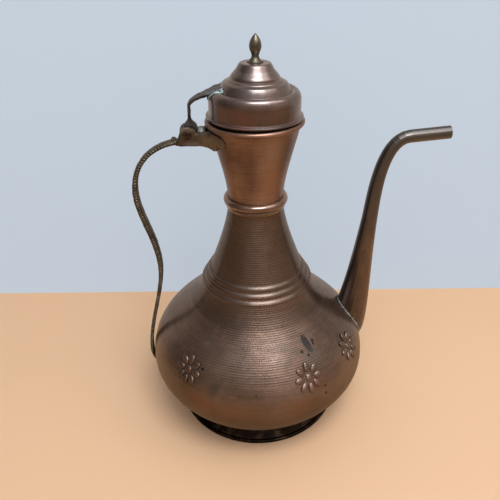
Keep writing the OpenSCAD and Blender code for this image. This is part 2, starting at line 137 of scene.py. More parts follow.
def heightOf(tree, point):
    return addNode(tree, "ShaderNodeSeparateXYZ", {0: point}).outputs["Z"]


stageSetup = {
    "size": 6,  # side of the floor and of the wall, in metres
    "floor": (0.745, 0.472, 0.28),
    "floorRoughness": 0.6,
    "floorInMetal": (0.73, 0.456, 0.242),
    "wall": (0.545, 0.635, 0.745),
    "wallRoughness": 0.9,
    "wallBehind": 0.156,  # metres behind the ewer's middle
    "wallTurn": -5,  # degrees, and the room turns with it
    "shownWall": (0.57, 0.645, 0.73),
    "shownShare": 0.7,  # how much of the shown wall is its own even colour
    "wallInMetal": (0.70, 0.61, 0.55),
    # levels that the metal mirrors, which the wall and floor show to glossy rays as a glow in
    # place of their lit colour,
    # so painted reflections of the room: on the wall from wallReach left of its middle to
    # wallReach right of it, darker toward its left, and on the floor from the foot to 1 m away,
    # low by the foot as the ewer's painted shadow and lower far off as painted shade
    "wallReach": 1,
    "mirroredWall": [(0.0, 0.18), (0.18, 0.35), (0.28, 0.6), (0.5, 0.72), (0.75, 0.75),
                     (1.0, 0.7)],
    "mirroredFloor": [(0.05, 0.22), (0.13, 0.62), (0.22, 0.9), (0.32, 0.95), (0.48, 0.65),
                      (0.8, 0.42)],
    "backdrop": (0.80, 0.82, 0.86),
}
room = {
    "even": 0.76,  # level of the light that comes from all round
    "mirrored": 1.0,  # level of what the metal mirrors
    # colour from straight down to straight up, and level all round: behind, left, front, right
    "byHeight": [(0.0, (0.45, 0.33, 0.24)), (0.37, (0.45, 0.33, 0.24)), (0.5, (0.42, 0.31, 0.24)),
                 (0.67, (0.60, 0.48, 0.38)), (0.79, (0.75, 0.68, 0.62)),
                 (0.90, (0.95, 0.92, 0.95)), (1.0, (1.0, 1.0, 1.0))],
    "byTurn": [(0.0, 0.8), (0.16, 0.6), (0.222, 0.35), (0.264, 0.22), (0.333, 0.34), (0.389, 0.55),
               (0.458, 0.9), (0.667, 1.0), (0.744, 0.95), (0.82, 0.85), (1.0, 0.8)],
    "overhead": (0.80, 0.96),  # between these heights the level all round fades to even
}
lampAim = Vector((0, 0, 0.15))
lamps = {  # toward: degrees to the right of the front, and up; away: metres from lampAim
    "window": {"toward": (18, 64), "away": 1.1, "size": (0.6, 0.42), "power": 6.5,
               "colour": (0.94, 0.97, 1.0)},
    "roomFill": {"toward": (55, 62), "away": 1.8, "size": (1.7, 1.2), "power": 11,
                 "colour": (1.0, 0.97, 0.94)},
}


def flatMaterial(name, colour, roughness):
    material = bpy.data.materials.new(name)
    material.use_nodes = True
    shader = material.node_tree.nodes["Principled BSDF"]
    shader.inputs["Base Color"].default_value = (*colour, 1)
    shader.inputs["Roughness"].default_value = roughness
    return material


def finishWall(material, setup):
    tree = material.node_tree
    shader = tree.nodes["Principled BSDF"]
    path = addNode(tree, "ShaderNodeLightPath")
    sideways = addNode(tree, "ShaderNodeSeparateXYZ",
                       {0: addNode(tree, "ShaderNodeTexCoord").outputs["Object"]}).outputs["X"]
    reach = setup["wallReach"]
    # painted reflection: the wall glows to glossy rays with a level that darkens toward its left
    level = ramp(tree, spread(tree, sideways, -reach, reach), setup["mirroredWall"])
    seen = mixColour(tree, 1.0, level, setup["wallInMetal"], "MULTIPLY")
    mirrored = addNode(tree, "ShaderNodeEmission", {"Color": seen}).outputs[0]
    lit = addNode(tree, "ShaderNodeMixShader",
                  {0: path.outputs["Is Glossy Ray"], 1: shader.outputs[0], 2: mirrored}).outputs[0]
    plain = addNode(tree, "ShaderNodeEmission", {"Color": (*setup["shownWall"], 1)}).outputs[0]
    share = mathNode(tree, "MULTIPLY", path.outputs["Is Camera Ray"], setup["shownShare"])
    shown = addNode(tree, "ShaderNodeMixShader", {0: share, 1: lit, 2: plain}).outputs[0]
    back = addNode(tree, "ShaderNodeNewGeometry").outputs["Backfacing"]  # clear from behind
    clear = addNode(tree, "ShaderNodeBsdfTransparent").outputs[0]
    mixed = addNode(tree, "ShaderNodeMixShader", {0: back, 1: shown, 2: clear})
    tree.links.new(mixed.outputs[0], tree.nodes["Material Output"].inputs["Surface"])


def finishFloor(material, setup):
    tree = material.node_tree
    shader = tree.nodes["Principled BSDF"]
    away = vectorNode(tree, "LENGTH", addNode(tree, "ShaderNodeTexCoord").outputs["Object"])
    # painted reflection: the floor glows to glossy rays, dark by the foot as painted shadow and
    # dimmer far off
    seen = mixColour(tree, 1.0, ramp(tree, away, setup["mirroredFloor"]),
                     setup["floorInMetal"], "MULTIPLY")
    mirrored = addNode(tree, "ShaderNodeEmission", {"Color": seen}).outputs[0]
    path = addNode(tree, "ShaderNodeLightPath")
    mixed = addNode(tree, "ShaderNodeMixShader",
                    {0: path.outputs["Is Glossy Ray"], 1: shader.outputs[0], 2: mirrored})
    tree.links.new(mixed.outputs[0], tree.nodes["Material Output"].inputs["Surface"])


def buildStage(setup):
    bpy.ops.mesh.primitive_plane_add(size=setup["size"])
    floor = bpy.context.object
    floor.name = "stageFloor"
    floorPaint = flatMaterial("paleFloor", setup["floor"], setup["floorRoughness"])
    finishFloor(floorPaint, setup)
    floor.data.materials.append(floorPaint)
    turn = math.radians(setup["wallTurn"])
    behind = Matrix.Rotation(turn, 4, "Z") @ Vector((0, setup["wallBehind"], 0))
    bpy.ops.mesh.primitive_plane_add(size=setup["size"], rotation=(math.pi / 2, 0, turn),
                                     location=behind)
    wall = bpy.context.object
    wall.name = "stageWall"
    wallPaint = flatMaterial("paleWall", setup["wall"], setup["wallRoughness"])
    finishWall(wallPaint, setup)
    wall.data.materials.append(wallPaint)
    wall.visible_shadow = False
    bpy.ops.object.select_all(action="DESELECT")


def addLamp(name, lamp):
    azimuth, height = (math.radians(v) for v in lamp["toward"])
    azimuth += math.radians(stageSetup["wallTurn"])
    away = Vector((math.sin(azimuth) * math.cos(height), -math.cos(azimuth) * math.cos(height),
                   math.sin(height)))
    bpy.ops.object.light_add(type="AREA", location=lampAim + away * lamp["away"])
    light = bpy.context.object
    light.name = name
    light.rotation_mode = "QUATERNION"
    light.rotation_quaternion = away.to_track_quat("Z", "Y")
    light.data.shape = "RECTANGLE"
    light.data.size, light.data.size_y = lamp["size"]
    light.data.energy = lamp["power"]
    light.data.color = lamp["colour"]


def lightWorld(colour):
    world = bpy.data.worlds.new("studio")
    scene.world = world
    world.use_nodes = True
    tree = world.node_tree
    path = addNode(tree, "ShaderNodeLightPath")
    toward = addNode(tree, "ShaderNodeTexCoord").outputs["Generated"]
    toward = addNode(tree, "ShaderNodeVectorRotate",
                     {"Vector": toward, "Angle": math.radians(-stageSetup["wallTurn"])},
                     rotation_type="Z_AXIS").outputs[0]
    parts = addNode(tree, "ShaderNodeSeparateXYZ", {0: toward})
    around = mathNode(tree, "ARCTAN2", parts.outputs["X"],
                      mathNode(tree, "MULTIPLY", parts.outputs["Y"], -1))
    around = spread(tree, around, -math.pi, math.pi)
    upward = spread(tree, parts.outputs["Z"], -1, 1)
    overhead = spread(tree, parts.outputs["Z"], *room["overhead"])
    turnLevel = mixColour(tree, overhead, ramp(tree, around, room["byTurn"]), (1.0, 1.0, 1.0))
    roomColour = mixColour(tree, 1.0, ramp(tree, upward, room["byHeight"]), turnLevel, "MULTIPLY")
    even = (*colour, 1)
    evenLight, mirrored, backdrop = (
        addNode(tree, "ShaderNodeBackground", {"Color": shade, "Strength": strength}).outputs[0]
        for shade, strength in ((even, room["even"]), (roomColour, room["mirrored"]), (even, 1.0)))
    lit = addNode(tree, "ShaderNodeMixShader",
                  {0: path.outputs["Is Glossy Ray"], 1: evenLight, 2: mirrored}).outputs[0]
    shown = addNode(tree, "ShaderNodeMixShader",
                    {0: path.outputs["Is Camera Ray"], 1: lit, 2: backdrop}).outputs[0]
    tree.links.new(shown, tree.nodes["World Output"].inputs["Surface"])


buildStage(stageSetup)
for lampName, lamp in lamps.items():
    addLamp(lampName, lamp)
lightWorld(stageSetup["backdrop"])
scene.view_settings.view_transform = "Standard"
print("stage and lamps set")


# Arc length along a turned outline, as (share of the height, share of the length), and the whole
def outlineLengths(nodeNames, low, high, count=32):
    rings = {}
    for nodeName in nodeNames:
        for vertex in nodes[nodeName].data.vertices:
            x, y, z = vertex.co
            key = round((z - low) / (high - low) * count)
            if 0 <= key <= count:
                rings[key] = max(rings.get(key, 0), math.hypot(x, y))
    keys = sorted(rings)
    rise = (high - low) / count
    total, lengths = 0.0, [(keys[0], 0.0)]
    for a, b in zip(keys, keys[1:]):
        total += math.hypot(rings[b] - rings[a], (b - a) * rise)
        lengths.append((b, total))
    everyOther = lengths[::2]
    return [(key / count, length / total) for key, length in everyOther], total


# Fine turned grooves that keep an even pitch along the outline: their wave, and how deep they are
def turnedLines(tree, point, lines):
    low, high = lines["low"], lines["high"]
    shares, total = outlineLengths(lines["nodes"], low, high)
    wander = noise(tree, stretched(tree, point, lines["wanderStretch"]), lines["wanderScale"],
                   detail=3)
    wander = mathNode(tree, "SUBTRACT", wander, 0.5)
    z = mathNode(tree, "MULTIPLY_ADD", wander, lines["wander"], heightOf(tree, point))
    share = spread(tree, z, low, high)
    curve = addNode(tree, "ShaderNodeFloatCurve", {"Value": share})
    points = curve.mapping.curves[0].points
    points[0].location, points[-1].location = shares[0], (1, 1)
    for x, y in shares[1:-1]:
        points.new(x, y)
    curve.mapping.update()
    turns = total / lines["pitch"] * 2 * math.pi
    wave = mathNode(tree, "SINE", mathNode(tree, "MULTIPLY", curve.outputs[0], turns))
    wave = mathNode(tree, "MULTIPLY_ADD", wave, 0.5, 0.5)
    worn = noise(tree, stretched(tree, point, lines["wornStretch"]), lines["wornScale"], detail=3)
    worn = spread(tree, worn, *lines["worn"])
    strength = mathNode(tree, "MULTIPLY", ramp(tree, share, lines["strength"]), worn)
    return wave, strength


# What a finish, and each thing laid on it, has unless its own dictionary says otherwise:
# scales are of the noise, depths in metres
usual = {
    "look": {"mottleStretch": (1, 1, 1), "roughStretch": (1, 1, 1.6), "roughScale": 90,
             "grainScale": 900, "grainTone": 0.25, "grainDepth": 0.00001,
             "dentScale": 28, "dentDepth": 0.0005, "raggedScale": 380,
             "coat": 0.0, "coatRoughness": 0.2, "coatIor": 1.5},
    "band": {"ragged": 0.008},
    "mark": {"ragged": 0.7, "edge": 0.2, "strength": 1.0, "dull": 0.15},
    "specks": {"strength": 0.8, "depth": 0.00004, "core": 0.5, "blur": 0.01},
    "crust": {"soft": 0.06, "dull": 0.2, "depth": 0.00005},
    "side": {"ragged": 0.2},
    # crease darkening by ambient occlusion: dirt and painted shade in creases, gaps and recesses
    "grimeAndShade": {"from": 0.75, "to": 0.25, "samples": 4},
}
noiseRange = (0.3, 0.7)  # nearly all of a noise's values lie between these
grainTones = [(0.3, 0.32), (0.7, 0.72)]
hairTones = [(0.3, 0.15), (0.7, 0.85)]


# How far a point lies inside a ragged ellipsoid: 0 outside, the mark's strength inside
def patch(tree, point, ragged, mark):
    offset = vectorNode(tree, "SUBTRACT", point, [v / mmPerMetre for v in mark["at"]])
    if "along" in mark:
        turn = Vector(mark["along"]).rotation_difference(Vector((0, 0, 1))).to_euler()
        offset = addNode(tree, "ShaderNodeVectorRotate", {"Vector": offset, "Rotation": turn},
                         rotation_type="EULER_XYZ").outputs[0]
    scaled = vectorNode(tree, "MULTIPLY", offset, [mmPerMetre / v for v in mark["size"]])
    reach = mathNode(tree, "MULTIPLY_ADD", ragged, mark["ragged"],
                     vectorNode(tree, "LENGTH", scaled))
    middle = 1.0 + mark["ragged"] / 2
    return spread(tree, reach, middle + mark["edge"], middle - mark["edge"], 0.0, mark["strength"])


# Each layer takes the skin's colour, roughness and height so far, and lays one thing over them
def layBrushing(tree, point, skin, brushed):  # hair lines left by turning
    drawn = stretched(tree, point, (1, 1, brushed["stretch"]))
    hair = noise(tree, drawn, brushed["scale"], detail=4, roughness=0.7)
    skin["colour"] = mixColour(tree, brushed["tone"], skin["colour"], ramp(tree, hair, hairTones),
                               "OVERLAY")
    skin["height"] = mathNode(tree, "MULTIPLY_ADD", hair, brushed["depth"], skin["height"])


def layGrooves(tree, point, skin, lines):
    grooves, strength = turnedLines(tree, point, lines)
    raised = mathNode(tree, "MULTIPLY", grooves, strength)
    skin["height"] = mathNode(tree, "MULTIPLY_ADD", raised, lines["depth"], skin["height"])
    # the groove bottoms are darkened: dirt in them and painted shade
    dark = mathNode(tree, "MULTIPLY", mathNode(tree, "SUBTRACT", 1.0, grooves), strength)
    skin["colour"] = mixColour(tree, mathNode(tree, "MULTIPLY", dark, lines["dark"]),
                               skin["colour"], lines["grooveDirtAndShade"])


def layBand(tree, point, skin, band):  # a change of colour up the piece
    band = {**usual["band"], **band}
    blurred = mathNode(tree, "MULTIPLY_ADD", skin["mottle"], band["ragged"], heightOf(tree, point))
    share = spread(tree, blurred, band["low"], band["high"])
    skin["colour"] = mixColour(tree, ramp(tree, share, band["strength"]), skin["colour"],
                               band["colour"])


def layMark(tree, point, skin, mark, ragged):
    mark = {**usual["mark"], **mark}
    inside = patch(tree, point, ragged, mark)
    skin["colour"] = mixColour(tree, inside, skin["colour"], mark["colour"])
    skin["roughness"] = mathNode(tree, "MULTIPLY_ADD", inside, mark["dull"], skin["roughness"])
    if "depth" in mark:
        skin["height"] = mathNode(tree, "MULTIPLY_ADD", inside, -mark["depth"], skin["height"])


def laySpecks(tree, point, skin, specks):  # scattered small pits
    specks = {**usual["specks"], **specks}
    cells = addNode(tree, "ShaderNodeTexVoronoi", {"Vector": point, "Scale": specks["scale"]})
    core = spread(tree, cells.outputs["Distance"], specks["size"],
                  specks["size"] * specks["core"])
    draw = addNode(tree, "ShaderNodeSeparateXYZ", {0: cells.outputs["Color"]}).outputs["X"]
    chosen = spread(tree, draw, specks["share"] + specks["blur"], specks["share"])
    pits = mathNode(tree, "MULTIPLY", core, chosen, clamp=True)
    skin["colour"] = mixColour(tree, mathNode(tree, "MULTIPLY", pits, specks["strength"]),
                               skin["colour"], specks["colour"])
    skin["height"] = mathNode(tree, "MULTIPLY_ADD", pits, -specks["depth"], skin["height"])


def layCrust(tree, point, skin, crust):  # verdigris and dirt in patches
    crust = {**usual["crust"], **crust}
    where = noise(tree, point, crust["scale"], detail=5, roughness=0.65)
    where = spread(tree, where, crust["from"], crust["from"] + crust["soft"])
    skin["colour"] = mixColour(tree, mathNode(tree, "MULTIPLY", where, crust["strength"]),
                               skin["colour"], crust["colour"])
    skin["height"] = mathNode(tree, "MULTIPLY_ADD", where, crust["depth"], skin["height"])
    skin["roughness"] = mathNode(tree, "MULTIPLY_ADD", where, crust["dull"], skin["roughness"])


def layFacingReflection(tree, skin, side):  # painted reflection: the side that faces one way takes the tone of what it mirrors
    side = {**usual["side"], **side}
    normal = addNode(tree, "ShaderNodeNewGeometry").outputs["Normal"]
    facing = vectorNode(tree, "DOT_PRODUCT", normal, Vector(side["toward"]).normalized())
    facing = mathNode(tree, "MULTIPLY_ADD", skin["mottle"], side["ragged"], facing)
    tinted = spread(tree, facing, side["from"], side["to"], 0.0, side["strength"])
    skin["colour"] = mixColour(tree, tinted, skin["colour"], side["colour"])


def layGrimeAndShade(tree, skin, grimeAndShade):  # dirt and painted shade in the creases: darker where ambient occlusion finds the surface hidden
    grimeAndShade = {**usual["grimeAndShade"], **grimeAndShade}
    openness = addNode(tree, "ShaderNodeAmbientOcclusion", {"Distance": grimeAndShade["reach"]},
                       samples=grimeAndShade["samples"]).outputs["AO"]
    hidden = spread(tree, openness, grimeAndShade["from"], grimeAndShade["to"], 0.0, grimeAndShade["strength"])
    skin["colour"] = mixColour(tree, hidden, skin["colour"], grimeAndShade["colour"])


def newMetal(name, look):
    look = {**usual["look"], **look}
    material = bpy.data.materials.new(name)
    material.use_nodes = True
    tree = material.node_tree
    shader = tree.nodes["Principled BSDF"]
    point = addNode(tree, "ShaderNodeTexCoord").outputs["Object"]
    mottle = noise(tree, stretched(tree, point, look["mottleStretch"]), look["mottleScale"],
                   detail=6, roughness=0.62, distortion=0.4)
    colour = ramp(tree, mottle, look["colours"])
    fine = noise(tree, point, look["grainScale"], detail=3, roughness=0.6)
    colour = mixColour(tree, look["grainTone"], colour, ramp(tree, fine, grainTones), "OVERLAY")
    rough = noise(tree, stretched(tree, point, look["roughStretch"]), look["roughScale"],
                  detail=5, roughness=0.6)
    roughness = spread(tree, rough, *noiseRange, *look["roughness"])
    dents = noise(tree, point, look["dentScale"], detail=2)
    height = mathNode(tree, "MULTIPLY", dents, look["dentDepth"])
    height = mathNode(tree, "MULTIPLY_ADD", fine, look["grainDepth"], height)
    skin = {"mottle": mottle, "colour": colour, "roughness": roughness, "height": height}
    if "brushed" in look:
        layBrushing(tree, point, skin, look["brushed"])
    if "turned" in look:
        layGrooves(tree, point, skin, look["turned"])
    for band in look.get("bands", []):
        layBand(tree, point, skin, band)
    ragged = noise(tree, point, look["raggedScale"], detail=4, roughness=0.6)
    for mark in look.get("marks", []):
        layMark(tree, point, skin, mark, ragged)
    if "specks" in look:
        laySpecks(tree, point, skin, look["specks"])
    if "crust" in look:
        layCrust(tree, point, skin, look["crust"])
    for side in look.get("sides", []):
        layFacingReflection(tree, skin, side)
    if "grimeAndShade" in look:
        layGrimeAndShade(tree, skin, look["grimeAndShade"])
    tree.links.new(skin["colour"], shader.inputs["Base Color"])
    tree.links.new(skin["roughness"], shader.inputs["Roughness"])
    shader.inputs["Metallic"].default_value = look["metallic"]
    if "turnedGrain" in look:  # reflections smear across the turning marks, not along them
        shader.inputs["Anisotropic"].default_value = look["turnedGrain"]
        shader.inputs["Anisotropic Rotation"].default_value = 0.25  # a quarter turn
        grain = addNode(tree, "ShaderNodeTangent", direction_type="RADIAL", axis="Z")
        tree.links.new(grain.outputs[0], shader.inputs["Tangent"])
    shader.inputs["Coat Weight"].default_value = look["coat"]
    shader.inputs["Coat Roughness"].default_value = look["coatRoughness"]
    shader.inputs["Coat IOR"].default_value = look["coatIor"]
    bump = addNode(tree, "ShaderNodeBump",
                   {"Height": skin["height"], "Distance": 1.0, "Strength": 1.0})
    tree.links.new(bump.outputs[0], shader.inputs["Normal"])
    return material


# Marks that come more than once. Places and sizes are in millimetres, a size is half the width
pit = {"colour": (0.012, 0.010, 0.009), "depth": 0.0001}
faintPit = {"colour": (0.012, 0.010, 0.009), "strength": 0.6}
warmPatch = {"colour": (0.20, 0.085, 0.034), "strength": 0.5, "edge": 0.7, "ragged": 1.4,
             "dull": 0.0}
lipPatch = {"colour": (0.17, 0.055, 0.038), "strength": 0.6, "edge": 0.6, "ragged": 1.1}
bodyCopper = {
    "colours": [(0.32, (0.115, 0.068, 0.046)), (0.50, (0.19, 0.118, 0.085)),
                (0.70, (0.25, 0.158, 0.118))],
    "mottleScale": 26, "metallic": 0.85, "roughness": (0.34, 0.46), "coat": 0.45,
    "coatRoughness": 0.24, "coatIor": 1.7, "turnedGrain": 0.65, "raggedScale": 700,
    "brushed": {"scale": 26, "stretch": 55, "tone": 0.26, "depth": 0.00002},
    "turned": {"nodes": ["belly_shell", "neck_cone"], "low": 0.012, "high": 0.203, "pitch": 0.0018,
               "wander": 0.0010, "wanderScale": 30, "wanderStretch": (1, 1, 0.3),
               "depth": 0.00013, "dark": 0.6, "grooveDirtAndShade": (0.012, 0.007, 0.005),
               "worn": (0.35, 0.6, 0.5, 1.0), "wornScale": 60, "wornStretch": (1, 1, 6),
               "strength": [(0.0, 0.0), (0.30, 0.0), (0.42, 0.9), (0.62, 1.0), (1.0, 0.8)]},
    "bands": [
        # painted shade: the bottom of the belly darker and more orange, for the shaded floor it
        # mirrors
        {"low": 0.0, "high": 0.26, "colour": (0.14, 0.062, 0.026),
         "strength": [(0.05, 0.85), (0.20, 0.62), (0.32, 0.0)]},
        {"low": 0.0, "high": 0.26, "colour": (0.085, 0.049, 0.031),
         "strength": [(0.46, 0.0), (0.54, 0.58), (0.80, 0.66)]},
        # painted shade: a darker ring just above the belly's highlight, for a shallow crease in
        # the shoulder that the shape lacks
        {"low": 0.105, "high": 0.135, "colour": (0.055, 0.032, 0.022), "ragged": 0.003,
         "strength": [(0.29, 0.0), (0.38, 0.5), (0.60, 0.3), (0.80, 0.0)]},
    ],
    "marks": [
        {"at": (34.1, -60.1, 101.2), "along": (7.7, -9.4, -11.3), "size": (3.0, 3.0, 8.2),
         "colour": (0.020, 0.019, 0.021), "strength": 0.92, "dull": 0.25, "edge": 0.1,
         "ragged": 1.1},
        {"at": (38.6, -66.5, 94.0), "size": (9, 9, 6), "colour": (0.10, 0.085, 0.075),
         "strength": 0.4, "edge": 0.5},
        {**pit, "at": (29.7, -66.1, 98.1), "size": (1.3, 1.3, 1.6)},
        {**pit, "at": (35.0, -67.0, 95.2), "size": (1.2, 1.2, 1.2)},
        {**pit, "at": (39.4, -56.7, 101.4), "size": (1.5, 1.5, 1.7)},
        {**pit, "at": (39.8, -58.6, 99.4), "size": (1.1, 1.1, 1.1)},
        {**pit, "at": (-49.7, -66.0, 87.3), "size": (1.3, 1.3, 1.3)},
        {**faintPit, "at": (-9.0, -89.0, 77.3), "size": (0.9, 0.9, 0.9)},
        {**faintPit, "at": (-16.6, -63.9, 104.0), "size": (0.9, 0.9, 0.9),
         "colour": (0.08, 0.03, 0.02)},
        {**pit, "at": (47.4, -78.7, 72.2), "size": (1.0, 1.0, 1.1)},
        {**pit, "at": (47.9, -80.2, 65.9), "size": (1.1, 1.1, 1.2)},
        {"at": (42.7, -80.5, 76.7), "size": (7, 7, 6), "colour": (0.16, 0.055, 0.028),
         "strength": 0.5, "edge": 0.5},
        {"at": (-44.7, -52.2, 101.4), "size": (2.2, 2.2, 1.8), "colour": (0.13, 0.17, 0.165),
         "strength": 0.6, "edge": 0.5},
        {"at": (-41.1, -79.2, 77.4), "along": (-3.4, -1.1, -5.0), "size": (3.6, 4.0, 8.0),
         "colour": (0.055, 0.046, 0.031), "strength": 0.6, "edge": 0.5, "ragged": 1.2},
        {**faintPit, "at": (-58.5, -35.1, 101.8), "size": (0.8, 0.8, 0.8)},
        {**warmPatch, "at": (-58, -72, 65), "size": (11, 11, 6), "colour": (0.23, 0.085, 0.036),
         "strength": 0.6},
        {**warmPatch, "at": (-49, -80, 60), "size": (15, 15, 6), "strength": 0.55},
        {**warmPatch, "at": (-22, -90, 64), "size": (10, 12, 5), "colour": (0.21, 0.09, 0.036),
         "strength": 0.45},
        {**warmPatch, "at": (26, -90, 62), "size": (13, 12, 6), "colour": (0.20, 0.085, 0.036)},
        {"at": (-68, -60, 74), "size": (15, 18, 20), "colour": (0.045, 0.024, 0.015),
         "strength": 0.65, "edge": 0.9, "ragged": 1.2, "dull": 0.0},
        {**warmPatch, "at": (66, 60, 64), "size": (15, 15, 6)},
        {**warmPatch, "at": (-24, 88, 62), "size": (15, 15, 6)},
    ],
    "specks": {"scale": 120, "size": 0.09, "share": 0.10, "colour": (0.02, 0.012, 0.009),
               "strength": 0.7},
    "grimeAndShade": {"reach": 0.004, "strength": 0.35, "colour": (0.03, 0.018, 0.013)},
}
beadBrass = {
    "colours": [(0.32, (0.05, 0.042, 0.030)), (0.50, (0.13, 0.110, 0.080)),
                (0.70, (0.30, 0.26, 0.20))],
    "mottleScale": 200, "metallic": 0.75, "roughness": (0.26, 0.42),
    "grimeAndShade": {"reach": 0.0014, "from": 0.85, "to": 0.4, "strength": 0.95,
              "colour": (0.010, 0.007, 0.005)},
}
collarCopper = {
    "colours": [(0.32, (0.13, 0.066, 0.040)), (0.50, (0.22, 0.12, 0.078)),
                (0.70, (0.30, 0.175, 0.12))],
    "mottleScale": 60, "metallic": 0.85, "roughness": (0.17, 0.27), "coat": 0.9,
    "coatRoughness": 0.14, "coatIor": 1.8,
    "brushed": {"scale": 26, "stretch": 60, "tone": 0.25, "depth": 0.000004},
    "grimeAndShade": {"reach": 0.005, "strength": 0.8, "colour": (0.02, 0.013, 0.010)},
}
neckCopper = {
    "colours": [(0.32, (0.165, 0.080, 0.048)), (0.50, (0.26, 0.143, 0.098)),
                (0.70, (0.35, 0.21, 0.145))],
    "mottleScale": 30, "metallic": 0.88, "roughness": (0.33, 0.45), "coat": 0.3,
    "coatRoughness": 0.28, "turnedGrain": 0.6,
    "marks": [
        # painted reflections: the bright orange patches for the floor the funnel mirrors, the dark
        # ones for the darker belly and floor it mirrors in front
        {"at": (-7, -24, 232), "size": (7, 9, 22), "colour": (0.07, 0.032, 0.018),
         "strength": 0.45, "edge": 0.6},
        {"at": (20, -24, 248), "size": (9, 12, 12), "colour": (0.075, 0.036, 0.026),
         "strength": 0.45, "edge": 0.6},
        {"at": (9, -24, 226), "size": (9, 9, 20), "colour": (0.36, 0.19, 0.10), "strength": 0.5,
         "edge": 0.6},
        {"at": (-21, -16, 226), "size": (7, 9, 20), "colour": (0.30, 0.15, 0.08), "strength": 0.4,
         "edge": 0.6},
        {"at": (-25, -19, 250), "size": (12, 10, 14), "colour": (0.095, 0.052, 0.038),
         "strength": 0.6, "edge": 0.7},
        {"at": (9, -30, 252), "size": (8, 9, 15), "colour": (0.42, 0.26, 0.185), "strength": 0.55,
         "edge": 0.7},
    ],
    "brushed": {"scale": 26, "stretch": 60, "tone": 0.45, "depth": 0.00004},
    "specks": {"scale": 140, "size": 0.09, "share": 0.06, "colour": (0.03, 0.016, 0.010)},
    "grimeAndShade": {"reach": 0.004, "strength": 0.75, "colour": (0.02, 0.013, 0.010)},
}
lidCopper = {
    "colours": [(0.32, (0.060, 0.034, 0.028)), (0.50, (0.105, 0.062, 0.050)),
                (0.70, (0.16, 0.098, 0.080))],
    "mottleScale": 40, "metallic": 0.85, "roughness": (0.27, 0.38), "coat": 1.0,
    "coatRoughness": 0.21, "coatIor": 1.9,
    "bands": [{"low": 0.262, "high": 0.312, "colour": (0.045, 0.026, 0.024),
               "strength": [(0.0, 0.95), (0.14, 0.85), (0.26, 0.25), (0.42, 0.0)]}],
    "marks": [
        {**lipPatch, "at": (-12, -34, 276), "size": (9, 9, 7), "colour": (0.17, 0.050, 0.036),
         "strength": 0.7},
        {**lipPatch, "at": (9, -35, 277), "size": (8, 9, 6), "colour": (0.17, 0.080, 0.060)},
        {**lipPatch, "at": (-27, -24, 276), "size": (8, 9, 7), "colour": (0.16, 0.050, 0.038)},
        {**lipPatch, "at": (28, -23, 275), "size": (9, 9, 6), "colour": (0.17, 0.060, 0.042)},
        {**lipPatch, "at": (10, 35, 276), "size": (10, 9, 7)},
    ],
    "brushed": {"scale": 26, "stretch": 40, "tone": 0.3, "depth": 0.00002},
    "crust": {"scale": 120, "from": 0.66, "strength": 0.6, "colour": (0.05, 0.030, 0.024),
              "depth": 0.00002},
    "grimeAndShade": {"reach": 0.003, "strength": 0.6, "colour": (0.015, 0.010, 0.009)},
}
shadedFootCopper = {
    # nearly black: painted shade under the belly, laid over the foot's dark copper
    "colours": [(0.32, (0.006, 0.004, 0.003)), (0.50, (0.016, 0.010, 0.007)),
                (0.66, (0.070, 0.044, 0.030))],
    "mottleScale": 70, "metallic": 1.0, "roughness": (0.26, 0.46),
    "crust": {"scale": 150, "from": 0.60, "strength": 0.6, "colour": (0.030, 0.038, 0.034)},
    "grimeAndShade": {"reach": 0.006, "strength": 0.8, "colour": (0.008, 0.005, 0.004)},
}
spoutCopper = {
    "colours": [(0.32, (0.062, 0.037, 0.025)), (0.50, (0.110, 0.067, 0.047)),
                (0.70, (0.18, 0.112, 0.080))],
    "mottleScale": 60, "mottleStretch": (1, 1, 0.4), "metallic": 0.82, "roughness": (0.28, 0.42),
    "coat": 0.6, "coatRoughness": 0.2, "coatIor": 1.7,
    "bands": [{"low": 0.10, "high": 0.24, "colour": (0.092, 0.083, 0.076),
               "strength": [(0.42, 0.0), (0.75, 0.8)]}],
    # painted reflections: dark down the spout's left side, grey on its upward faces
    "sides": [
        {"toward": (-0.95, -0.1, 0.3), "from": 0.72, "to": 0.98, "strength": 0.85,
         "colour": (0.020, 0.018, 0.018)},
        {"toward": (-0.15, 0.25, 0.95), "from": 0.62, "to": 0.92, "strength": 0.8,
         "colour": (0.055, 0.058, 0.064)},
    ],
    "marks": [
        {"at": (99, -8, 112), "size": (7, 11, 28), "colour": (0.14, 0.052, 0.028), "strength": 0.7,
         "edge": 0.6},
        {"at": (106, -8, 160), "size": (6, 9, 18), "colour": (0.13, 0.060, 0.038), "strength": 0.6,
         "edge": 0.6},
    ],
    "specks": {"scale": 170, "size": 0.1, "share": 0.10, "colour": (0.03, 0.018, 0.012)},
    "grimeAndShade": {"reach": 0.005, "strength": 0.7, "colour": (0.02, 0.013, 0.010)},
}
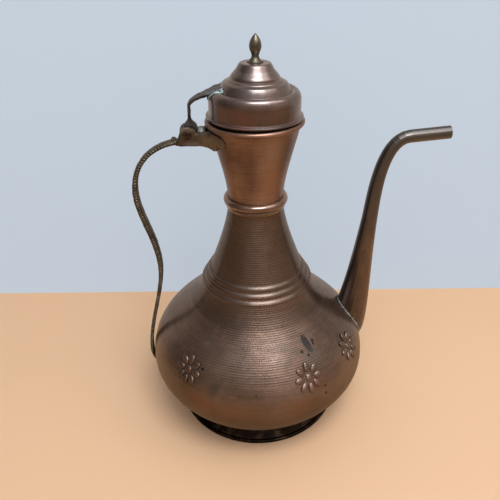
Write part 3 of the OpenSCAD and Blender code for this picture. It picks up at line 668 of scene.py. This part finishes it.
handleBrass = {
    "colours": [(0.32, (0.036, 0.029, 0.019)), (0.50, (0.088, 0.072, 0.048)),
                (0.70, (0.17, 0.14, 0.098))],
    "mottleScale": 110, "metallic": 0.75, "roughness": (0.36, 0.58),
    "specks": {"scale": 420, "size": 0.16, "share": 0.2, "colour": (0.02, 0.014, 0.008),
               "depth": 0.00008},
    "marks": [
        {"at": (-33, -17, 252), "size": (13, 13, 9), "colour": (0.24, 0.17, 0.10),
         "strength": 0.75, "edge": 0.5},
        # lighter rims at the top and bottom of the ear: wear and painted highlight; darker round
        # the pin: painted shade of a deeper recess
        {"at": (-50, -8, 262.6), "size": (6, 5, 1.8), "colour": (0.26, 0.21, 0.15),
         "strength": 0.7, "edge": 0.5},
        {"at": (-47, -8, 252.4), "size": (6, 5, 1.6), "colour": (0.24, 0.19, 0.14),
         "strength": 0.6, "edge": 0.5, "ragged": 1.2},
        {"at": (-49.6, -8, 258), "size": (7, 4, 7), "colour": (0.10, 0.062, 0.038),
         "strength": 0.6, "edge": 0.5},
    ],
    "crust": {"scale": 210, "from": 0.58, "strength": 0.5, "colour": (0.05, 0.055, 0.045)},
    "grimeAndShade": {"reach": 0.002, "strength": 0.8, "colour": (0.014, 0.010, 0.007)},
}
armBrass = {
    "colours": [(0.32, (0.028, 0.028, 0.029)), (0.50, (0.085, 0.084, 0.086)),
                (0.70, (0.21, 0.21, 0.215))],
    "mottleScale": 120, "metallic": 0.75, "roughness": (0.34, 0.55),
    "crust": {"scale": 190, "from": 0.60, "strength": 0.55, "colour": (0.10, 0.14, 0.14)},
    "grimeAndShade": {"reach": 0.003, "strength": 0.75, "colour": (0.012, 0.010, 0.010)},
}
finialBrass = {
    "colours": [(0.32, (0.060, 0.053, 0.036)), (0.50, (0.125, 0.112, 0.080)),
                (0.70, (0.21, 0.19, 0.14))],
    "mottleScale": 120, "metallic": 0.8, "roughness": (0.28, 0.44),
    "grimeAndShade": {"reach": 0.002, "strength": 0.75, "colour": (0.02, 0.016, 0.010)},
}
greySolder = {
    "colours": [(0.32, (0.12, 0.12, 0.115)), (0.50, (0.28, 0.28, 0.265)),
                (0.70, (0.45, 0.45, 0.42))],
    "mottleScale": 260, "metallic": 0.5, "roughness": (0.5, 0.72),
    "crust": {"scale": 300, "from": 0.56, "strength": 0.6, "colour": (0.10, 0.12, 0.105)},
    "grimeAndShade": {"reach": 0.002, "strength": 0.7, "colour": (0.03, 0.026, 0.022)},
}
greenSolder = {
    "colours": [(0.34, (0.06, 0.09, 0.095)), (0.50, (0.20, 0.29, 0.29)),
                (0.64, (0.55, 0.63, 0.61))],
    "mottleScale": 300, "metallic": 0.15, "roughness": (0.5, 0.8),
    "grimeAndShade": {"reach": 0.002, "strength": 0.6, "colour": (0.02, 0.03, 0.03)},
}
darkIron = {
    "colours": [(0.32, (0.025, 0.020, 0.018)), (0.50, (0.070, 0.058, 0.050)),
                (0.70, (0.14, 0.115, 0.098))],
    "mottleScale": 200, "metallic": 0.75, "roughness": (0.38, 0.6),
}
pinCopper = {
    "colours": [(0.32, (0.018, 0.011, 0.008)), (0.50, (0.055, 0.034, 0.024)),
                (0.70, (0.12, 0.078, 0.056))],
    "mottleScale": 320, "metallic": 0.8, "roughness": (0.34, 0.55),
    "grimeAndShade": {"reach": 0.002, "strength": 0.8, "colour": (0.010, 0.007, 0.006)},
}
finishes = {
    "bodyCopper": (bodyCopper, ["belly_shell", "neck_cone"]),
    "neckCopper": (neckCopper, ["neck_funnel"]),
    "lidCopper": (lidCopper, ["lid_shell", "lid_sleeve"]),
    "shadedFootCopper": (shadedFootCopper, ["foot_ring", "base_plate", "hinge_pin"]),
    "spoutCopper": (spoutCopper, ["spout_tube"]),
    "handleBrass": (handleBrass, []),
    "armBrass": (armBrass, []),
    "finialBrass": (finialBrass, []),
    "greySolder": (greySolder, []),
    "greenSolder": (greenSolder, []),
    "darkIron": (darkIron, ["rim_wire", "finial_nut"]),
    "pinCopper": (pinCopper, []),
    "beadBrass": (beadBrass, []),
    "collarCopper": (collarCopper, ["neck_collar"]),
}
materials = {}
smoothAngle = 50  # edges sharper than this many degrees stay sharp


def paint(mesh, material):
    mesh.materials.clear()
    mesh.materials.append(material)


for finishName, (look, nodeNames) in finishes.items():
    materials[finishName] = newMetal(finishName, look)
    for nodeName in nodeNames:
        paint(nodes[nodeName].data, materials[finishName])
print("finishes made")


def onlySelect(piece):
    bpy.ops.object.select_all(action="DESELECT")
    piece.select_set(True)
    bpy.context.view_layer.objects.active = piece


# Every piece's last step: its place goes into its mesh, and it gets its finish and body
def settle(piece, material, body):
    onlySelect(piece)
    bpy.ops.object.transform_apply(location=True, rotation=True, scale=True)
    paint(piece.data, materials[material])
    bpy.ops.object.shade_smooth_by_angle(angle=math.radians(smoothAngle))
    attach(piece, body)
    piece.select_set(False)


finialTurning = {
    "foot": (0.00076, 0.0, 0.30549),  # where its axis leaves the lid's recess
    "lean": 1.2,  # degrees
    "sides": 32,
    # radius and height above the foot, in mm
    "outline": [(4.8, 0.0), (4.85, 0.35), (4.8, 0.8), (4.6, 1.3), (4.25, 1.9), (3.8, 2.6),
                (3.3, 3.3), (2.85, 4.0), (2.6, 4.6), (2.5, 5.1), (2.6, 5.5), (2.75, 5.9),
                (2.75, 6.3), (2.95, 7.0), (3.4, 7.9), (3.85, 8.9), (4.17, 10.1), (4.27, 11.3),
                (4.2, 12.6), (3.9, 13.9), (3.4, 15.2), (2.75, 16.4), (2.0, 17.5), (1.3, 18.4),
                (0.75, 19.0), (0.35, 19.35), (0.02, 19.5)],
}


# The bud is turned as on a lathe: a ring drawn up the outline and widened or narrowed at each step
def turnFinial(setup):
    radius = setup["outline"][0][0] / mmPerMetre
    bpy.ops.mesh.primitive_circle_add(vertices=setup["sides"], radius=radius, fill_type="NGON")
    finial = bpy.context.object
    finial.name = "finialBud"
    bpy.ops.object.mode_set(mode="EDIT")
    bpy.ops.mesh.select_all(action="SELECT")
    height = 0.0
    for nextRadius, nextHeight in setup["outline"][1:]:
        rise = nextHeight / mmPerMetre - height
        bpy.ops.mesh.extrude_region_move(TRANSFORM_OT_translate={"value": (0, 0, rise)})
        height = nextHeight / mmPerMetre
        share = nextRadius / mmPerMetre / radius
        bpy.ops.transform.resize(value=(share, share, 1), center_override=(0, 0, height))
        radius = nextRadius / mmPerMetre
    bpy.ops.mesh.select_all(action="SELECT")
    bpy.ops.mesh.normals_make_consistent(inside=False)
    bpy.ops.object.mode_set(mode="OBJECT")
    finial.rotation_euler = (0, math.radians(setup["lean"]), 0)
    finial.location = setup["foot"]
    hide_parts("finial")
    settle(finial, "finialBrass", "lid")


turnFinial(finialTurning)
print("finial turned")

edgeBeading = {  # in mm
    "pitch": 2.4,
    "bead": (0.8, 0.85, 1.45),  # half sizes: along the strap, outwards, and through its thickness
    "segments": 8, "rings": 6,
    "slant": 24,  # degrees
    "inset": 0.45,  # how far a bead's middle lies inside the strap's edge
    "startAfter": 6, "stopBefore": 17,
    # the strap's middle line as (x, z) with its half width, four points to a curve
    "curves": [
        [(-55.5, 252.2, 4.5), (-75.0, 251.5, 4.5), (-92.8, 238.0, 4.5), (-92.8, 212.8, 4.5)],
        [(-92.8, 212.8, 4.5), (-92.8, 191.5, 4.5), (-80.6, 172.6, 4.28), (-80.6, 146.0, 4.05)],
        [(-80.6, 146.0, 4.05), (-80.6, 122.0, 3.83), (-94.6, 90.0, 3.6), (-96.9, 63.4, 3.6)],
        [(-96.9, 63.4, 3.6), (-97.9, 52.0, 3.6), (-98.3, 44.0, 3.42), (-89.9, 38.0, 3.24)],
    ],
}


# Points of the strap's middle line as (x, z, half width)
def strapLine(curves, steps=40):
    line = []
    for controls in curves:
        for k in range(steps + 1):
            t = k / steps
            weights = ((1 - t) ** 3, 3 * t * (1 - t) ** 2, 3 * t * t * (1 - t), t ** 3)
            line.append(Vector([sum(weight * control[i] for weight, control
                                    in zip(weights, controls)) for i in range(3)]))
    return line


# Where the beads go along the strap, each with the strap's heading there
def beadPlaces(setup):
    line = strapLine(setup["curves"])
    places, walked, due = [], 0.0, setup["startAfter"]
    lengths = [math.hypot(b.x - a.x, b.y - a.y) for a, b in zip(line, line[1:])]
    last = sum(lengths) - setup["stopBefore"]
    for a, b, length in zip(line, line[1:], lengths):
        while length and walked + length >= due and due < last:
            at = a.lerp(b, (due - walked) / length)
            places.append((at, math.atan2(b.y - a.y, b.x - a.x)))
            due += setup["pitch"]
        walked += length
    return places


def beadTheEdges(setup):
    bpy.ops.mesh.primitive_uv_sphere_add(segments=setup["segments"], ring_count=setup["rings"],
                                         radius=1 / mmPerMetre)
    bead = bpy.context.object
    bpy.ops.object.mode_set(mode="EDIT")
    bpy.ops.mesh.select_all(action="SELECT")
    bpy.ops.transform.resize(value=setup["bead"], center_override=(0, 0, 0))
    bpy.ops.transform.rotate(value=math.radians(setup["slant"]), orient_axis="Y",
                             center_override=(0, 0, 0))
    bpy.ops.object.mode_set(mode="OBJECT")
    beads = []
    for at, heading in beadPlaces(setup):
        for side in (-1, 1):
            copy = bead.copy()
            copy.data = bead.data.copy()
            scene.collection.objects.link(copy)
            outward = side * (at.z - setup["inset"])
            copy.location = (at.x / mmPerMetre, outward / mmPerMetre, at.y / mmPerMetre)
            copy.rotation_euler = (0, -heading, 0)
            beads.append(copy)
    onlySelect(bead)
    bpy.ops.object.delete()
    for copy in beads:
        copy.select_set(True)
    bpy.context.view_layer.objects.active = beads[0]
    bpy.ops.object.join()
    beading = bpy.context.object
    beading.name = "handleBeading"
    settle(beading, "beadBrass", "jug")
    print("beads on the handle:", len(beads))


beadTheEdges(edgeBeading)

peenedHeads = {
    "at": (-0.0496, 0.2584),  # the pin's axis as (x, z)
    "radius": 0.0031, "from": 0.0062, "to": 0.0074, "sides": 24,
    "facing": 0.9,  # how squarely a face looks outwards to be the one that is dished
    "dish": 0.62,  # the dished middle's share of the radius
    "depth": 0.0004,
    "steps": [(0.3, 1.0), (0.4, 0.4)],  # how the dish goes in: shares of its radius and depth
    "round": 0.0004, "roundSteps": 3, "roundFrom": 60,  # the last in degrees
}


# The hinge pin's two hammered ends, dished in the middle
def peenTheHeads(setup):
    heads = []
    for side in (-1, 1):
        x, z = setup["at"]
        middle = side * (setup["from"] + setup["to"]) / 2
        bpy.ops.mesh.primitive_cylinder_add(vertices=setup["sides"], radius=setup["radius"],
                                            depth=setup["to"] - setup["from"],
                                            location=(x, middle, z), rotation=(math.pi / 2, 0, 0))
        head = bpy.context.object
        bpy.ops.object.transform_apply(location=True, rotation=True, scale=True)
        bpy.ops.object.mode_set(mode="EDIT")
        bpy.ops.mesh.select_mode(type="FACE")
        bpy.ops.mesh.select_all(action="DESELECT")
        bpy.ops.object.mode_set(mode="OBJECT")
        for face in head.data.polygons:
            face.select = face.normal.y * side > setup["facing"]
        bpy.ops.object.mode_set(mode="EDIT")
        bpy.ops.mesh.inset(thickness=setup["radius"] * (1 - setup["dish"]), depth=0)
        for inward, down in setup["steps"]:
            bpy.ops.mesh.inset(thickness=setup["radius"] * setup["dish"] * inward,
                               depth=-setup["depth"] * down)
        bpy.ops.object.mode_set(mode="OBJECT")
        edge = head.modifiers.new("rounded", "BEVEL")
        edge.width, edge.segments = setup["round"], setup["roundSteps"]
        edge.angle_limit = math.radians(setup["roundFrom"])
        bpy.ops.object.modifier_apply(modifier="rounded")
        heads.append(head)
    onlySelect(heads[0])
    heads[1].select_set(True)
    bpy.ops.object.join()
    heads[0].name = "hingePinHeads"
    settle(heads[0], "pinCopper", "jug")


peenTheHeads(peenedHeads)
print("pin heads made")

weldReach = 0.000002
lumpDetail = 2


def copyNodes(name, nodeNames):
    copies = []
    for nodeName in nodeNames:
        copy = bpy.data.objects.new(name, nodes[nodeName].data.copy())
        scene.collection.objects.link(copy)
        copies.append(copy)
    onlySelect(copies[0])
    for copy in copies:
        copy.select_set(True)
    if len(copies) > 1:
        bpy.ops.object.join()
    return bpy.context.object


# One closed skin of even small faces, which softens every edge by about a face
def evenMesh(piece, faceSize):
    bpy.ops.object.mode_set(mode="EDIT")
    bpy.ops.mesh.select_all(action="SELECT")
    bpy.ops.mesh.remove_doubles(threshold=weldReach)
    bpy.ops.object.mode_set(mode="OBJECT")
    remesh = piece.modifiers.new("even", "REMESH")
    remesh.mode, remesh.voxel_size = "VOXEL", faceSize
    bpy.ops.object.modifier_apply(modifier="even")


def raiseLumps(piece, setup, within=""):
    lumps = bpy.data.textures.new(piece.name + "Lumps", "CLOUDS")
    lumps.noise_scale, lumps.noise_depth = setup["lump"], lumpDetail
    push = piece.modifiers.new("lumps", "DISPLACE")
    push.texture, push.strength, push.mid_level = lumps, setup["height"], setup["level"]
    push.vertex_group = within
    bpy.ops.object.modifier_apply(modifier="lumps")


# Cast brass: edges softened, the skin a little uneven, the faces round the hinge kept true.
# faceSize, lump and height are in metres, and level is the value of the lumps that moves nothing
castPieces = {
    "handleCasting": {
        "nodes": ["handle", "neck_saddle"], "finish": "handleBrass", "slot": "handle brass",
        "body": "jug", "faceSize": 0.0004, "lump": 0.0045, "height": 0.0004, "level": 0.5,
        "calm": ((-0.0476, 0.0, 0.262), 0.0085),
        # low down the leaf is worn smoother, between these x and z
        "worn": ((-0.040, 0.1), (0.235, 0.2505)), "wornRounds": 14,
        # how much fuller the strap is on its two broad faces, as (height, mm)
        "fuller": [(30, 0.0), (110, 0.0), (130, 0.15), (140, 0.4), (150, 0.65), (160, 0.75),
                   (172, 0.85), (185, 0.8), (200, 0.75), (213, 0.7), (225, 0.4), (235, 0.2),
                   (250, 0.0)],
        "fullerLeftOf": -0.064,
    },
    "lidArmCasting": {
        "nodes": ["lid_arm"], "finish": "armBrass", "slot": "arm brass", "body": "lid",
        "faceSize": 0.0004, "lump": 0.0035, "height": 0.0008, "level": 0.5,
        "calm": ((-0.0476, 0.0, 0.259), 0.0125),
    },
}
calmFade = 0.004  # how far outside its calm place a casting's skin gets its full lumps
edgeFade = 0.003  # and how far in from the object's outermost face
softening = {"factor": 0.5, "rounds": 4}


def levelAt(stops, height):
    for (low, first), (high, second) in zip(stops, stops[1:]):
        if low <= height <= high:
            return first + (second - first) * (height - low) / (high - low)
    return 0.0


def markSkin(piece, setup):
    calmAt, calmReach = Vector(setup["calm"][0]), setup["calm"][1]
    skin = piece.vertex_groups.new(name="skin")
    for vertex in piece.data.vertices:
        away = (vertex.co - calmAt).length - calmReach
        inward = vertex.co.x - cadBox[0][0]
        weight = min(1.0, max(0.0, away / calmFade)) * min(1.0, max(0.0, inward / edgeFade))
        skin.add([vertex.index], weight, "REPLACE")


def wearSmooth(piece, setup):
    (lowX, highX), (lowZ, highZ) = setup["worn"]
    for vertex in piece.data.vertices:
        vertex.select = lowX < vertex.co.x < highX and lowZ < vertex.co.z < highZ
    bpy.ops.object.mode_set(mode="EDIT")
    bpy.ops.mesh.select_mode(type="VERT")
    bpy.ops.mesh.vertices_smooth(factor=softening["factor"], repeat=setup["wornRounds"])
    bpy.ops.object.mode_set(mode="OBJECT")


def fillOut(piece, setup):
    broad = piece.vertex_groups.new(name="broad")
    for vertex in piece.data.vertices:
        if vertex.co.x < setup["fullerLeftOf"]:
            fuller = levelAt(setup["fuller"], vertex.co.z * mmPerMetre)
            broad.add([vertex.index], fuller * (1 - abs(vertex.normal.y)), "REPLACE")
    swell = piece.modifiers.new("swell", "DISPLACE")
    swell.strength, swell.mid_level, swell.vertex_group = 1 / mmPerMetre, 0.0, "broad"
    bpy.ops.object.modifier_apply(modifier="swell")


def castPiece(name, setup):
    piece = copyNodes(name, setup["nodes"])
    evenMesh(piece, setup["faceSize"])
    markSkin(piece, setup)
    if "worn" in setup:
        wearSmooth(piece, setup)
    if "fuller" in setup:
        fillOut(piece, setup)
    soften = piece.modifiers.new("soften", "SMOOTH")
    soften.factor, soften.iterations = softening["factor"], softening["rounds"]
    soften.vertex_group = "skin"
    bpy.ops.object.modifier_apply(modifier="soften")
    raiseLumps(piece, setup, "skin")
    piece.vertex_groups.clear()
    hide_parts(*setup["nodes"])
    settle(piece, setup["finish"], setup["body"])
    print(name, len(piece.data.polygons), "faces")


for pieceName, setup in castPieces.items():
    castPiece(pieceName, setup)

solderPieces = {
    "spoutSeamSolder": {
        "node": "spout_solder", "finish": "greySolder", "slot": "solder", "body": "jug",
        "faceSize": 0.00032, "lump": 0.0035, "height": 0.0006, "level": 0.42,
    },
    "handleFootSolder": {
        "node": "handle_solder", "finish": "greySolder", "slot": "solder", "body": "jug",
        "faceSize": 0.0003, "lump": 0.003, "height": 0.0005, "level": 0.42,
    },
    "saddleSolderBlob": {
        "node": "saddle_solder", "finish": "greySolder", "slot": "solder", "body": "jug",
        "faceSize": 0.0003, "lump": 0.003, "height": 0.0009, "level": 0.42,
    },
    "armFootSolder": {
        "node": "arm_solder", "finish": "greenSolder", "slot": "verdigris solder", "body": "lid",
        "faceSize": 0.0003, "lump": 0.0028, "height": 0.0008, "level": 0.42,
    },
}


def lumpSolder(name, setup):
    solder = copyNodes(name, [setup["node"]])
    evenMesh(solder, setup["faceSize"])
    raiseLumps(solder, setup)
    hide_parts(setup["node"])
    settle(solder, setup["finish"], setup["body"])
    print(name, len(solder.data.polygons), "faces")


for pieceName, setup in solderPieces.items():
    lumpSolder(pieceName, setup)
print("pieces modelled")
